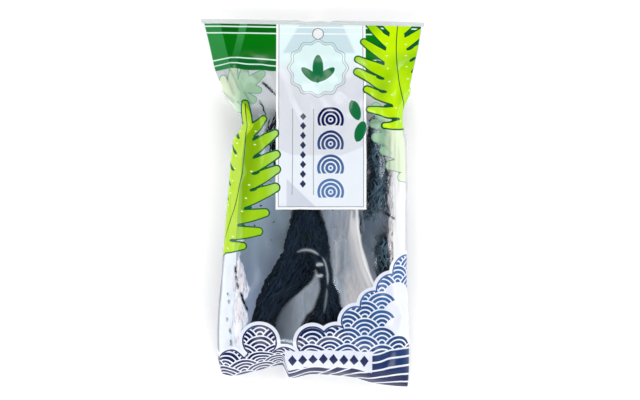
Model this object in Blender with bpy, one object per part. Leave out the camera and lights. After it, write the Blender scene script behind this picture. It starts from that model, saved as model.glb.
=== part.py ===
"""A sealed clear pack of dried seaweed strands, lying on its back with the printed side up.

The pack is one closed solid out to the film: a flat heat-sealed header with a punched hanging hole, a
pinched waist below it, a soft body with rounded sides, and a bottom seal that lies on the ground. The film
is pressed up over the two bundles of strands inside, which spread like a wishbone, and over a thinner
bundle along the right side.

Metres, +Z up, +Y towards the header. The origin is under the middle of the pack, on the ground.
"""

import math

import bmesh
import bpy
import numpy as np

MM = 0.001

# Driving sizes
PACK_LENGTH = 241 * MM
HEADER_WIDTH = 146 * MM
FILM_SEAL = 0.8 * MM  # thickness of the two sealed layers, with some body for a sound solid
HOLE_DIAMETER = 6.4 * MM
HOLE_CENTRE = (3.6 * MM, 110.6 * MM)
CUTTER_MIDDLE = 8 * MM  # height of the header round the hole
CUTTER_LENGTH = 30 * MM

TOP = PACK_LENGTH / 2
EDGE = HEADER_WIDTH / 2

# Cross-sections down the pack, in mm: the row's y, its left and right edge, the height of its widest line,
# and the height of the film in front and behind.
SECTIONS = (
    (120.5, -73.0, 73.0, 7.4, 7.8, 7.0),
    (105.0, -69.2, 70.8, 8.4, 9.2, 7.6),
    (87.0, -64.7, 67.0, 10.6, 15.0, 4.6),
    (72.0, -57.6, 63.4, 12.6, 21.5, 1.5),
    (58.0, -48.0, 58.6, 14.0, 26.2, 0.0),
    (51.0, -45.8, 58.7, 14.3, 28.0, 0.0),
    (42.0, -51.2, 60.8, 14.6, 29.5, 0.0),
    (5.0, -54.8, 61.4, 15.0, 32.0, 0.0),
    (-50.0, -59.2, 61.2, 15.0, 34.0, 0.0),
    (-85.0, -61.6, 62.6, 13.0, 31.5, 0.0),
    (-100.0, -61.4, 62.8, 9.0, 23.0, 0.0),
    (-109.0, -60.2, 62.6, 3.6, 10.5, 0.0),
    (-113.0, -59.4, 62.2, 0.4, 0.8, 0.0),
)
BOTTOM_SEAL_Y = -113.0 * MM
BOTTOM_TURN = -85.0 * MM  # where the body starts to close towards the bottom seal
BODY_TOP = 87.0 * MM  # where the header ends and the body starts to open
HEADER_WAVE = 1.1 * MM
WAVE_LENGTH = 104 * MM
TOP_FALL = 2.2 * MM  # how much lower the header's right corner is than its left
RELIEF_ROOM = 5.0 * MM  # rise of the front over its sides at which the relief reaches its full height

# The bottom edge, in mm: it curls up left of a fold and reaches out as a flat seal on the right.
BOTTOM_EDGE = (
    (-62.0, -110.6),
    (-53.0, -113.0),
    (-38.0, -110.0),
    (-20.0, -106.0),
    (-15.0, -114.6),
    (0.0, -112.0),
    (24.0, -113.6),
    (42.0, -118.2),
    (62.5, -120.5),
)

FRONT_ROUNDNESS = 2.5  # exponent of the superellipse over the front
BACK_ROUNDNESS = 4.0  # a higher exponent, so that the back lies flat
BACK_FLATNESS = 1.07  # how far the back would bulge below the ground if it could
SIDE_FADE = 6  # a higher power keeps the relief up to nearer the sides
BOTTOM_EASE = 1.5  # a higher power keeps the rows level until nearer the bottom edge
SHARP_ANGLE = math.radians(50)  # shading is smooth below it, so the seals' edges and the hole stay crisp

# Bundles under the film, in mm: a run from one point to another, its height over the film, its half width.
BUNDLES = (
    ((-9.0, 40.0), (-9.0, -2.0), 2.6, 13.0),
    ((-11.0, -8.0), (-36.0, -74.0), 3.6, 12.0),
    ((-4.0, -12.0), (16.0, -78.0), 3.0, 10.0),
    ((40.0, 58.0), (46.0, -36.0), 2.6, 8.0),
)

# Folds of the film, in mm: a run from one point to another, its height (below zero in a valley), its half
# width.
FOLDS = (
    ((-47.0, 84.0), (-40.0, 26.0), 2.2, 4.5),
    ((-43.0, 40.0), (-49.0, -98.0), 1.6, 4.5),
    ((52.0, 74.0), (50.5, -78.0), 1.6, 4.5),
    ((-52.0, 88.0), (-40.0, 62.0), -1.6, 5.0),
    ((48.0, 88.0), (40.0, 60.0), -1.6, 5.0),
    ((30.0, 2.0), (46.0, -74.0), 2.0, 5.0),
    ((4.0, 76.0), (58.0, 58.0), -1.4, 5.5),
    ((-18.0, -76.0), (-17.5, -112.0), -2.6, 4.0),
)

ROWS = 62
AROUND = 60  # points round each row, half of them in front
RESAMPLED = 361  # points of the fine section curve that each row is taken from
HOLE_SIDES = 24


def smooth(x):
    """A ramp from 0 to 1 with level ends."""
    x = np.clip(x, 0.0, 1.0)
    return x * x * (3.0 - 2.0 * x)


def through(stations, at):
    """A smooth curve through (position, value) pairs that never overshoots them."""
    x, v = np.array(sorted(stations)).T
    step, rise = np.diff(x), np.diff(v)
    slope = rise / step
    same_way = slope[:-1] * slope[1:] > 0
    mean = 2 * slope[:-1] * slope[1:] / np.where(same_way, slope[:-1] + slope[1:], 1.0)
    tangent = np.concatenate([slope[:1], np.where(same_way, mean, 0.0), slope[-1:]])
    i = np.clip(np.searchsorted(x, at) - 1, 0, len(step) - 1)
    t = np.clip((at - x[i]) / step[i], 0.0, 1.0)
    bend = t * (1 - t) * step[i]
    return v[i] + rise[i] * smooth(t) + bend * (tangent[i] * (1 - t) - tangent[i + 1] * t)


def section_at(y):
    """Left edge, right edge, widest line, front and back height of the section at y, in metres."""
    return [
        through([(row[0], row[k]) for row in SECTIONS], y / MM) * MM for k in range(1, 6)
    ]


def run_distance(x, y, start, end):
    """Distance from a straight run, and how far along it from 0 to 1."""
    (ax, ay), (bx, by) = start, end
    dx, dy = bx - ax, by - ay
    along = np.clip(((x - ax) * dx + (y - ay) * dy) / (dx * dx + dy * dy), 0.0, 1.0)
    return np.hypot(x - ax - along * dx, y - ay - along * dy), along


def relief(x, y):
    """Height that the bundles and the folds add to the front, in metres.

    Where bundles cross, the film lies over the higher one, so they don't add up. A fold adds to what is
    below it, and dies out over a quarter of its length at both ends.
    """
    x, y = x / MM, y / MM
    height = np.zeros_like(x)
    for start, end, rise, half_width in BUNDLES:
        away, _ = run_distance(x, y, start, end)
        height = np.maximum(height, rise * np.exp(-((away / half_width) ** 2)))
    for start, end, rise, half_width in FOLDS:
        away, along = run_distance(x, y, start, end)
        fade = smooth(4 * along) * smooth(4 * (1 - along))
        height += rise * fade * np.exp(-((away / half_width) ** 2))
    return height * MM


def header_wave(x, y):
    """Height of the header's gentle wave from side to side, which dies out where the body starts."""
    return HEADER_WAVE * np.sin(2 * math.pi * x / WAVE_LENGTH) * smooth((y - BODY_TOP) / (TOP - BODY_TOP))


def row_positions():
    """The y of each row, spaced evenly along the front film from header to bottom seal."""
    y = np.linspace(TOP, BOTTOM_SEAL_Y, RESAMPLED)
    front = section_at(y)[3]
    length = np.concatenate([[0.0], np.cumsum(np.hypot(np.diff(y), np.diff(front)))])
    return np.interp(np.linspace(0.0, length[-1], ROWS), length, y)


def half_section(y, side):
    """One film of the section at y, from its left edge to its right, evenly spaced: x and z.

    side is 1 for the front and -1 for the back. The curve is a superellipse.
    """
    left, right, widest, front, back = section_at(y)
    xi = np.sin(np.linspace(-math.pi / 2, math.pi / 2, RESAMPLED))
    power = FRONT_ROUNDNESS if side > 0 else BACK_ROUNDNESS
    swell = (1.0 - np.abs(xi) ** power) ** (1.0 / power)
    x = (left + right) / 2 + (right - left) / 2 * xi
    if side > 0:
        z = widest + (front - widest) * swell
    else:
        z = np.maximum(back, widest - (widest - back) * BACK_FLATNESS * swell)
    length = np.concatenate([[0.0], np.cumsum(np.hypot(np.diff(x), np.diff(z)))])
    even = np.linspace(0.0, length[-1], AROUND // 2 + 1)
    return np.interp(even, length, x), np.interp(even, length, z)


def film_row(y):
    """The closed row of points round the pack at y: the front from left to right, then the back."""
    front_x, front_z = half_section(y, 1)
    back_x, back_z = half_section(y, -1)
    x = np.concatenate([front_x, back_x[-2:0:-1]])
    z = np.concatenate([front_z, back_z[-2:0:-1]])
    in_front = np.arange(len(x)) <= AROUND // 2
    left, right, widest, front, _ = section_at(y)
    # The relief fades towards the sides and where the two films meet.
    middle = 1.0 - np.abs((x - (left + right) / 2) / ((right - left) / 2)) ** SIDE_FADE
    room = smooth((front - widest) / RELIEF_ROOM)
    z = z + np.where(in_front, relief(x, np.full_like(x, y)) * middle * room, 0.0)
    z = z + header_wave(x, y)
    # The bottom edge follows its own line, and the top edge falls away to the right.
    reach = smooth((BOTTOM_TURN - y) / (BOTTOM_TURN - BOTTOM_SEAL_Y)) ** BOTTOM_EASE
    edge_y = through(BOTTOM_EDGE, x / MM) * MM
    top_fall = smooth((y - BODY_TOP) / (TOP - BODY_TOP)) * (x + EDGE) / HEADER_WIDTH * TOP_FALL
    return np.stack([x, y + reach * (edge_y - BOTTOM_SEAL_Y) - top_fall, z], axis=1)


def seal_edges(rows):
    """Gives the two seals at the ends their thickness, measured across the film."""
    for row in (rows[0], rows[-1]):
        for k in range(1, AROUND // 2):
            gap = row[k, 2] - row[-k, 2]
            row[k, 2] += max(0.0, FILM_SEAL - gap)
    return rows


def build_pack():
    """The pack's skin as rows of points bridged by faces, closed by the edge of each seal."""
    rows = seal_edges([film_row(y) for y in row_positions()])
    bm = bmesh.new()
    rings = [[bm.verts.new(point) for point in row] for row in rows]
    for upper, lower in zip(rings, rings[1:]):
        for k in range(AROUND):
            after = (k + 1) % AROUND
            bm.faces.new((upper[k], lower[k], lower[after], upper[after]))
    half = AROUND // 2
    for ring, turned in ((rings[0], False), (rings[-1], True)):
        for k in range(half):
            corners = [ring[k], ring[k + 1], ring[-k - 1], ring[-k]]
            corners = list(dict.fromkeys(corners))
            bm.faces.new(corners[::-1] if turned else corners)
    bmesh.ops.recalc_face_normals(bm, faces=bm.faces[:])
    mesh = bpy.data.meshes.new("pack")
    bm.to_mesh(mesh)
    bm.free()
    pack = bpy.data.objects.new("pack", mesh)
    bpy.context.scene.collection.objects.link(pack)
    mesh.shade_smooth()
    mesh.set_sharp_from_angle(angle=SHARP_ANGLE)
    return pack


def punch_hole(pack):
    """Cuts the round hanging hole through the header."""
    bpy.ops.mesh.primitive_cylinder_add(
        vertices=HOLE_SIDES,
        radius=HOLE_DIAMETER / 2,
        depth=CUTTER_LENGTH,
        location=(*HOLE_CENTRE, CUTTER_MIDDLE),
    )
    cutter = bpy.context.object
    cutter.name = "hole_cutter"
    cutter.hide_render = True
    cutter.display_type = "WIRE"
    punch = pack.modifiers.new("hanging_hole", "BOOLEAN")
    punch.operation = "DIFFERENCE"
    punch.object = cutter


def film_material():
    """Glossy clear film over dark green-black strands, as one plain finish."""
    material = bpy.data.materials.new("printed_film")
    material.use_nodes = True
    shader = material.node_tree.nodes["Principled BSDF"]
    shader.inputs["Base Color"].default_value = (0.30, 0.36, 0.38, 1.0)
    shader.inputs["Roughness"].default_value = 0.18
    shader.inputs["Metallic"].default_value = 0.0
    return material


for old in list(bpy.data.objects):
    bpy.data.objects.remove(old)

the_pack = build_pack()
the_pack.data.materials.append(film_material())
punch_hole(the_pack)
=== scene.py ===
# %% [markdown]
# # A sealed clear pack of dried seaweed strands
# The real thing is one flat tube of clear film, printed in front, filled with dark dried strands and
# sealed at both ends. It can't stand, so it lies on its back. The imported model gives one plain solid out
# to the film. Here that solid is replaced by what it stands for: the film as a thin skin, and the strands
# inside it.

# %% The frame
import math

import bpy
import numpy as np
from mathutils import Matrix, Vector


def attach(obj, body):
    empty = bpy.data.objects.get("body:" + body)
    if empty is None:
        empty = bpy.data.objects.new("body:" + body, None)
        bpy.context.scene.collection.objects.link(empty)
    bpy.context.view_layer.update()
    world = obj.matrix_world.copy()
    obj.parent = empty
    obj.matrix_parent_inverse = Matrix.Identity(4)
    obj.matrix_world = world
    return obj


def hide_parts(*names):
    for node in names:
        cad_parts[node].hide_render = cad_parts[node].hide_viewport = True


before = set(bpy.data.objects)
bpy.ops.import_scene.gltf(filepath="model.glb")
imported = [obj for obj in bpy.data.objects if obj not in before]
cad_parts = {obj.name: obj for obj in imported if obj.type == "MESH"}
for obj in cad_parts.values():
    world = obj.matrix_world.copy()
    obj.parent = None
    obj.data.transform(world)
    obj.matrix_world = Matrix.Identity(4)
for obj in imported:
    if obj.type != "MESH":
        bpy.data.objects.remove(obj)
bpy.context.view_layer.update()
MM = 0.001

# %% [markdown]
# ## Camera
# The photograph looks straight at the front, so with the pack on its back the camera looks straight down.
# One pixel of the photograph is 0.65 mm. A long lens from over a metre keeps the sides of the pack from
# showing wider than they are, as a studio photograph does.

# %% Camera
PIXEL = 0.65
FRAME_WIDTH = 640 * PIXEL
CENTRE = (4.9, 2.3)
LENS, SENSOR = 100, 36
MID_HEIGHT = 12  # the height at which the scale holds, between the header and the top of the front


def put_in_scene(name, data):
    """An object of the scene from its mesh, light or camera."""
    thing = bpy.data.objects.new(name, data)
    bpy.context.scene.collection.objects.link(thing)
    return thing


camera = put_in_scene("camera", bpy.data.cameras.new("camera"))
camera.data.lens = LENS
camera.data.sensor_width = SENSOR
distance = FRAME_WIDTH * LENS / SENSOR
camera.location = (CENTRE[0] * MM, CENTRE[1] * MM, (distance + MID_HEIGHT) * MM)
bpy.context.scene.camera = camera
print("camera height over the pack, in mm:", round(distance))

# %% [markdown]
# ## Shape of the film
# The film is a tube, so it is a surface of two parameters: how far down the pack a row lies, and how far
# round the row a point lies. Each row is a superellipse, a rounded box whose exponent says how square it
# is. A table of a few sections gives its width and heights, and smooth curves run through them. It could
# also be inflated from a flat pouch by cloth simulation, but the outline would then be hard to hold to
# the photograph.

# %% Sections, bundles and folds
# In mm: a row's y, its left and right edge, and the heights of its widest line, its front and its back.
SECTIONS = (
    (120.5, -73, 73, 7.4, 7.8, 7),
    (105, -69.2, 70.8, 8.4, 9.2, 7.6),
    (87, -64.7, 67, 10.6, 15, 4.6),
    (72, -57.6, 63.4, 12.6, 21.5, 1.5),
    (58, -48, 58.6, 14, 26.2, 0),
    (51, -45.8, 58.7, 14.3, 28, 0),
    (40.5, -51.3, 60.8, 14.6, 29.6, 0),
    (5, -54.8, 61.4, 15, 32, 0),
    (-50, -59.2, 61.2, 15, 34, 0),
    (-85, -61.6, 62.6, 13, 31.5, 0),
    (-100, -61.4, 62.8, 9, 23, 0),
    (-109, -60.2, 62.6, 3.6, 10.5, 0),
    (-113, -59.4, 62.2, 0.4, 0.8, 0),
)
TOP_Y, BODY_TOP_Y, TURN_Y, SEAL_Y = 120.5, 87, -85, -113
HEADER_WIDTH = 146
HEADER_WAVE, WAVE_LENGTH, TOP_FALL = 1.1, 104, 2.2
# The y of the bottom edge at each x.
BOTTOM_EDGE = (
    (-62, -110.6), (-53, -113), (-38, -110), (-20, -106), (-15, -114.6), (0, -112),
    (24, -113.6), (42, -118.2), (62.5, -120.5),
)
FRONT_ROUNDNESS, BACK_ROUNDNESS, BACK_FLATNESS = 2.5, 4, 1.07
# A run from one point to another, its height over the film, its half width.
BUNDLE_RELIEF = (
    ((-9, 40), (-9, -2), 2.6, 13),
    ((-11, -8), (-36, -74), 3.6, 12),
    ((-4, -12), (16, -78), 3, 10),
    ((40, 58), (46, -36), 2.6, 8),
)
FOLDS = (
    ((-47, 84), (-40, 26), 2.2, 4.5),
    ((-43, 40), (-49, -98), 1.6, 4.5),
    ((52, 74), (50.5, -78), 1.6, 4.5),
    ((-52, 88), (-40, 62), -1.6, 5),
    ((48, 88), (40, 60), -1.6, 5),
    ((30, 2), (46, -74), 2, 5),
    ((4, 76), (58, 58), -1.4, 5.5),
    ((-18, -88), (-17.5, -113), -2.2, 4),
)
# Fine folds that run down from a pinch in the header, and the header's own sharp creases above it: where
# a crease meets the top edge, where it passes the pinch, and the slopes on its left and on its right.
FINE_FOLDS = (
    ((-53.5, 92), (-46, 71), 1.1, 1.7),
    ((-52, 92), (-38.5, 62), 1.2, 1.9),
    ((-56, 90), (-55, 72), 0.8, 1.7),
    ((57, 92), (50, 66), 1.1, 1.8),
    ((60, 84), (57, 64), 0.8, 1.6),
)
PINCH = (-53.1, 93.4)
HEADER_CREASES = (
    (-60.7, -54.6, 0.21, 0),
    (-46.9, -52.4, 0, 0.22),
    (-41.9, -47.8, 0.22, -0.03),
    (-10, -16, -0.03, 0),
)
PULLED_UP, PULL_LEFT, PULL_RIGHT, PULL_HEIGHT = 2.6, 11, 34, 9
print("sections:", len(SECTIONS), " folds:", len(FOLDS) + len(FINE_FOLDS))


# %% Curves that the shape is made of
def smooth(x):
    """A ramp from 0 to 1 with level ends: 3 x squared less 2 x cubed."""
    x = np.clip(x, 0, 1)
    return x * x * (3 - 2 * x)


def through(table, at, column=1):
    """A curve through a column of a table whose first column is the place. It never overshoots: Hermite
    pieces whose slope at each row is the harmonic mean of the slopes beside it."""
    x, v = np.array(sorted((row[0], row[column]) for row in table)).T
    step, rise = np.diff(x), np.diff(v)
    slope = rise / step
    same_way = slope[:-1] * slope[1:] > 0
    mean = 2 * slope[:-1] * slope[1:] / np.where(same_way, slope[:-1] + slope[1:], 1)
    tangent = np.concatenate([slope[:1], np.where(same_way, mean, 0), slope[-1:]])
    i = np.clip(np.searchsorted(x, at) - 1, 0, len(step) - 1)
    t = np.clip((at - x[i]) / step[i], 0, 1)
    bend = t * (1 - t) * step[i]
    return v[i] + rise[i] * smooth(t) + bend * (tangent[i] * (1 - t) - tangent[i + 1] * t)


def bell(away, half_width):
    """1 on a line and less to each side of it: e to minus the square of the distance in half widths."""
    return np.exp(-((away / half_width) ** 2))


def eased(share, steepness):
    """0 at both ends of a run and 1 between, for a share of the way along it."""
    return smooth(steepness * share) * smooth(steepness * (1 - share))


def run_distance(x, y, start, end):
    """Distance from a straight run, and how far along it from 0 to 1."""
    (ax, ay), (bx, by) = start, end
    dx, dy = bx - ax, by - ay
    along = np.clip(((x - ax) * dx + (y - ay) * dy) / (dx * dx + dy * dy), 0, 1)
    return np.hypot(x - ax - along * dx, y - ay - along * dy), along


def relief(x, y):
    """Height that bundles and folds add: bells across each run. Where bundles cross the higher counts."""
    height = np.zeros_like(x)
    for start, end, rise, half_width in BUNDLE_RELIEF:
        away, _ = run_distance(x, y, start, end)
        height = np.maximum(height, rise * bell(away, half_width))
    for start, end, rise, half_width in FOLDS + FINE_FOLDS:
        away, along = run_distance(x, y, start, end)
        height += rise * eased(along, 4) * bell(away, half_width)
    return height


def facets(x, y):
    """Height of the header's flat facets. It is level in the middle, and the slope changes by a fixed
    amount at each crease, which leans as it runs down to the pinch. Below the pinch they fade out."""
    share = (y - PINCH[1]) / (TOP_Y - PINCH[1])
    height = np.zeros_like(x)
    for top, low, slope_left, slope_right in HEADER_CREASES:
        past = x - (low + (top - low) * share)
        change = slope_right - slope_left
        height += change * np.maximum(past, 0)
    (top, low, slope, _) = HEADER_CREASES[0]
    height += slope * (x - (low + (top - low) * share))
    return height * smooth((y - PINCH[1] + 7) / 8)


def waves(a, b, seed, count, low, high):
    """Soft unevenness of strength 1: sines of random direction and phase, low to high cycles per mm."""
    random = np.random.default_rng(seed)
    total = np.zeros(np.broadcast(a, b).shape)
    for _ in range(count):
        ranges = (low, high), (0, math.tau), (0, math.tau)
        cycles, turn, phase = [random.uniform(*ends) for ends in ranges]
        total = total + np.sin(math.tau * cycles * (a * math.cos(turn) + b * math.sin(turn)) + phase)
    return total / math.sqrt(count / 2)


# %% The smooth tube
def even_points(x, z, count):
    """Points at equal distances along each row's curve, and their distance from its start. All rows are
    read at once: row r's share of its own length is moved up by 2 r, so one table holds all in order."""
    step = np.hypot(np.diff(x, axis=1, prepend=x[:, :1]), np.diff(z, axis=1, prepend=z[:, :1]))
    length = np.cumsum(step, axis=1)
    whole = length[:, -1:].copy()
    shift = 2 * np.arange(len(x))[:, None]
    table = (length / whole + shift).ravel()
    share = np.linspace(0, 1, count)[None]
    at = (share + shift).ravel()
    return (
        np.interp(at, table, x.ravel()).reshape(len(x), count),
        np.interp(at, table, z.ravel()).reshape(len(x), count),
        whole * share,
    )


def smooth_tube(rows, front_count, back_count):
    """The film without wrinkles. Gives its points (rows, round, 3), the y of each row before the bottom
    edge is shaped, and its front's distances from the left side. A row's points run left to right in
    front, and on round the back."""
    fine_y = np.linspace(TOP_Y, SEAL_Y, 1201)
    fine_front = through(SECTIONS, fine_y, 4)
    run = np.concatenate([[0], np.cumsum(np.hypot(np.diff(fine_y), np.diff(fine_front)))])
    y = np.interp(np.linspace(0, run[-1], rows), run, fine_y)
    left, right, widest, front, back = [through(SECTIONS, y, k)[:, None] for k in range(1, 6)]
    xi = np.sin(np.linspace(-math.pi / 2, math.pi / 2, 721))[None]
    middle, half = (left + right) / 2, (right - left) / 2
    front_z = widest + (front - widest) * (1 - np.abs(xi) ** FRONT_ROUNDNESS) ** (1 / FRONT_ROUNDNESS)
    back_swell = (1 - np.abs(xi) ** BACK_ROUNDNESS) ** (1 / BACK_ROUNDNESS)
    back_z = np.maximum(back, widest - (widest - back) * BACK_FLATNESS * back_swell)
    fx, fz, reach = even_points(middle + half * xi, front_z, front_count + 1)
    bx, bz, _ = even_points(middle + half * xi, back_z, back_count + 1)
    x = np.concatenate([fx, bx[:, -2:0:-1]], axis=1)
    z = np.concatenate([fz, bz[:, -2:0:-1]], axis=1)
    in_front = (np.arange(x.shape[1]) <= front_count)[None]
    row_y = np.broadcast_to(y[:, None], x.shape)
    inward = 1 - np.clip(np.abs((x - middle) / half), 0, 1) ** 6
    z = z + np.where(in_front, relief(x, row_y) * inward * smooth((front - widest) / 5), 0)
    header = smooth((row_y - BODY_TOP_Y) / (TOP_Y - BODY_TOP_Y))
    z = z + HEADER_WAVE * np.sin(math.tau * x / WAVE_LENGTH) * header + facets(x, row_y)
    closing = smooth((TURN_Y - row_y) / (TURN_Y - SEAL_Y)) ** 1.5
    edge_y = through(BOTTOM_EDGE, x)
    fall = header * (x / HEADER_WIDTH + 0.5) * TOP_FALL
    return np.stack([x, row_y + closing * (edge_y - SEAL_Y) - fall, z], axis=2), y, reach


ROWS, FRONT, BACK = 290, 200, 120
ROUND = FRONT + BACK
tube, tube_y, front_reach = smooth_tube(ROWS, FRONT, BACK)
print("film grid:", ROWS, "rows of", ROUND, "points; girth of the body, in mm:",
      round(float(front_reach[150, -1]) * 2))

# %% [markdown]
# ## Wrinkles
# A pouch is cut flat, so once filled it has more film round its waist and sides than its shape needs, and
# the spare film buckles. That can be simulated cheaply: every point is linked to its neighbours by
# threads that are a few percent too long, and a weak spring holds it near the smooth tube. Pulling on the
# threads a few hundred times lets the film find its own wrinkles. On a coarse grid they come out broad,
# as on real film, and a spline carries them to the fine grid. Blender's cloth could do it too, far slower
# for the same folds.

# %% Letting the film buckle
SPARE_ROUND, SPARE_ALONG = 0.042, 0.012
COARSE_ROWS, COARSE_FRONT, COARSE_BACK = 70, 54, 32
NUDGE = 0.35  # unevenness in mm that starts the wrinkles
PULLS, PULL_SHARE = 260, 0.25
HOLD, LARGEST_MOVE = 0.004, 3
TAUT_HOLD, OUTLINE_HOLD = 0.85, 0.75
TAUT = ((-35, -28, 12, 44), (-32, 68, 10, 14))  # where it lies flat: middle, half widths


def linked(points, down, on):
    """For each point, the step to the point that is so many rows down and points on round the row."""
    return np.roll(points, -on, axis=1)[down:] - points[: len(points) - down]


def buckle(shape, y):
    """Moves the film off its smooth shape. Each link is too long by its share of spare film, and each
    pull moves both its ends by a quarter of what is wrong with its length."""
    rows, count, _ = shape.shape
    a = np.arange(count)[None] * 2 * HEADER_WIDTH / count
    b = y[:, None]
    body = smooth((104 - b) / 24) * smooth((b - SEAL_Y) / 12)
    # Taut over the middle of the front, slack at the sides and at the waist.
    sideways = np.abs(shape[:, :, 0] - 4)
    slack = 0.25 + 0.75 * smooth((sideways - 18) / 30) + 0.9 * bell(b - 60, 20)
    patches = smooth(0.55 + 0.5 * waves(a, b, 4, 12, 0.006, 0.02))
    spare = {
        "round": 1 + SPARE_ROUND * body * slack * (0.35 + 1.1 * patches),
        "along": 1 + SPARE_ALONG * body * (0.3 + patches),
    }
    spare["both"] = (spare["round"] + spare["along"]) / 2
    links = [
        (0, 1, "round", 1), (1, 0, "along", 1), (1, 1, "both", 0.5),
        (1, -1, "both", 0.5), (0, 2, "round", 1), (2, 0, "along", 1),
    ]
    lengths = [
        np.linalg.norm(linked(shape, down, on), axis=2, keepdims=True) * spare[way][: rows - down, :, None]
        for down, on, way, _ in links
    ]
    outward = np.cross(np.gradient(shape, axis=0), np.roll(shape, -1, axis=1) - np.roll(shape, 1, axis=1))
    outward /= np.linalg.norm(outward, axis=2, keepdims=True) + 1e-9
    points = shape + outward * (NUDGE * waves(a, b, 3, 40, 0.02, 0.07) * body)[:, :, None]
    free = (body > 0.001)[:, :, None]
    for _ in range(PULLS):
        for (down, on, _, strength), length in zip(links, lengths):
            step = linked(points, down, on)
            now = np.linalg.norm(step, axis=2, keepdims=True)
            pull = PULL_SHARE * strength * (1 - length / now) * step
            points[: rows - down] += pull
            points[down:] -= np.roll(pull, on, axis=1)
        move = points - shape
        size = np.linalg.norm(move, axis=2, keepdims=True)
        move = move * (1 - HOLD) * np.minimum(1, LARGEST_MOVE / np.maximum(size, 1e-9)) * free
        points = shape + move
        points[:, :, 2] = np.maximum(points[:, :, 2], 0)
    left, right = shape[:, :, 0].min(axis=1, keepdims=True), shape[:, :, 0].max(axis=1, keepdims=True)
    side = np.abs((2 * shape[:, :, 0] - left - right) / (right - left)) ** 8
    move = points - shape
    for x, y, half_x, half_y in TAUT:
        taut = np.exp(-(((shape[:, :, :1] - x) / half_x) ** 2) - ((shape[:, :, 1:2] - y) / half_y) ** 4)
        move *= 1 - TAUT_HOLD * taut
    move[:, :, 0] *= 1 - OUTLINE_HOLD * side  # the outline stays as the photograph shows it
    return move


def spline_weights(fine_at, count, closed):
    """Weights of a cubic B-spline: each fine place is a blend of the four coarse points round it."""
    i = np.floor(fine_at).astype(int)
    f = fine_at - i
    weights = np.zeros((len(fine_at), count))
    blends = (1 - f) ** 3, 3 * f**3 - 6 * f**2 + 4, -3 * f**3 + 3 * f**2 + 3 * f + 1, f**3
    for k, blend in zip((-1, 0, 1, 2), blends):
        j = (i + k) % count if closed else np.clip(i + k, 0, count - 1)
        np.add.at(weights, (np.arange(len(fine_at)), j), blend / 6)
    return weights


coarse, coarse_y, _ = smooth_tube(COARSE_ROWS, COARSE_FRONT, COARSE_BACK)
coarse_move = buckle(coarse, coarse_y)
round_at = np.concatenate([
    np.arange(FRONT) / FRONT * COARSE_FRONT,
    COARSE_FRONT + np.arange(BACK) / BACK * COARSE_BACK,
])
down_weights = spline_weights(np.linspace(0, COARSE_ROWS - 1, ROWS), COARSE_ROWS, False)
round_weights = spline_weights(round_at, COARSE_FRONT + COARSE_BACK, True)
film = tube + np.einsum("ij,jkc,lk->ilc", down_weights, coarse_move, round_weights, optimize=True)
film[:, :, 2] = np.maximum(film[:, :, 2], 0)
print("largest wrinkle, in mm:", round(float(np.abs(film - tube).max()), 2))

# %% [markdown]
# ## The hanging hole
# The header is punched right through both films. A Boolean cut would leave long thin faces in a glossy
# sheet, which show as scratches. Here a block of faces is left out of each film, the points round the
# block move onto a circle, and those further out are eased back to their places.

# %% Bending the grid round the hole
HOLE_CENTRE, HOLE_RADIUS = np.array([3.6, 110.6]), 3.2
HOLE_COLUMNS, HOLE_ROWS, EASED = 5, 4, 3.5
HOLE_FALL = 0.95  # how far the tilted header has moved the print down there


def bend_round_hole(points, first, last, way):
    """Moves the grid points near the hole in the columns from first to last. A point's share of the
    block, the larger of its steps across and down, says how far it moves onto the circle at its own
    angle. way is 1 where the columns run to the right and -1 where they run back. Gives the block's
    middle row and column."""
    flat = points[:, first:last, :2].copy()
    away = np.hypot(*(flat - HOLE_CENTRE).transpose(2, 0, 1))
    row, column = np.unravel_index(np.argmin(away), away.shape)
    down = (np.arange(len(points)) - row)[:, None] / HOLE_ROWS
    on = (np.arange(last - first) - column)[None] / HOLE_COLUMNS
    share = np.maximum(np.abs(down), np.abs(on))
    angle = np.arctan2(-down, on * way)
    ring = HOLE_RADIUS * share[:, :, None] * np.stack([np.cos(angle), np.sin(angle)], axis=2)
    blend = smooth((EASED - share) / (EASED - 1))[:, :, None]
    points[:, first:last, :2] = flat + blend * (HOLE_CENTRE + ring - flat)
    return int(row), int(column + first)


before_hole = film.copy()
hole_front = bend_round_hole(film, 0, FRONT + 1, 1)
hole_back = bend_round_hole(film, FRONT + 1, ROUND, -1)
print("hole in front at row and column", hole_front, "and behind at", hole_back)


# %% Faces of the film
def grid_faces(rows, count):
    """Four corners of each face of a closed tube, front outwards."""
    index = np.arange(rows * count).reshape(rows, count)
    upper, lower = index[:-1], index[1:]
    return np.stack([upper, lower, np.roll(lower, -1, axis=1), np.roll(upper, -1, axis=1)], axis=2)


def block_edge(hole, turn):
    """Point numbers round the block left out at a hole, one way round or the other."""
    row, column = hole
    r, c = HOLE_ROWS, HOLE_COLUMNS
    across, down = np.arange(-c, c), np.arange(-r, r)
    rows = np.concatenate([np.full(2 * c, -r), down, np.full(2 * c, r), -down])
    columns = np.concatenate([across, np.full(2 * r, c), -across, np.full(2 * r, -c)]) * turn
    return (row + rows) * ROUND + column + columns


def end_faces(row):
    """Closes a seal with triangles from the front film's edge to the back one's. The two have different
    numbers of points, so each front point is joined to the back point that is as far across."""
    front = row * ROUND + np.arange(FRONT + 1)
    back = row * ROUND + np.concatenate([[0], ROUND - 1 - np.arange(BACK - 1), [FRONT]])
    across = back[np.round(np.arange(FRONT + 1) / FRONT * BACK).astype(int)]
    thin = np.stack([front[:-1], front[1:], across[1:]], axis=1)
    wide = np.stack([front[:-1], across[1:], across[:-1]], axis=1)
    both = np.concatenate([thin, wide])
    whole = (both[:, 0] != both[:, 1]) & (both[:, 1] != both[:, 2]) & (both[:, 2] != both[:, 0])
    return both[whole].tolist()


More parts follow.
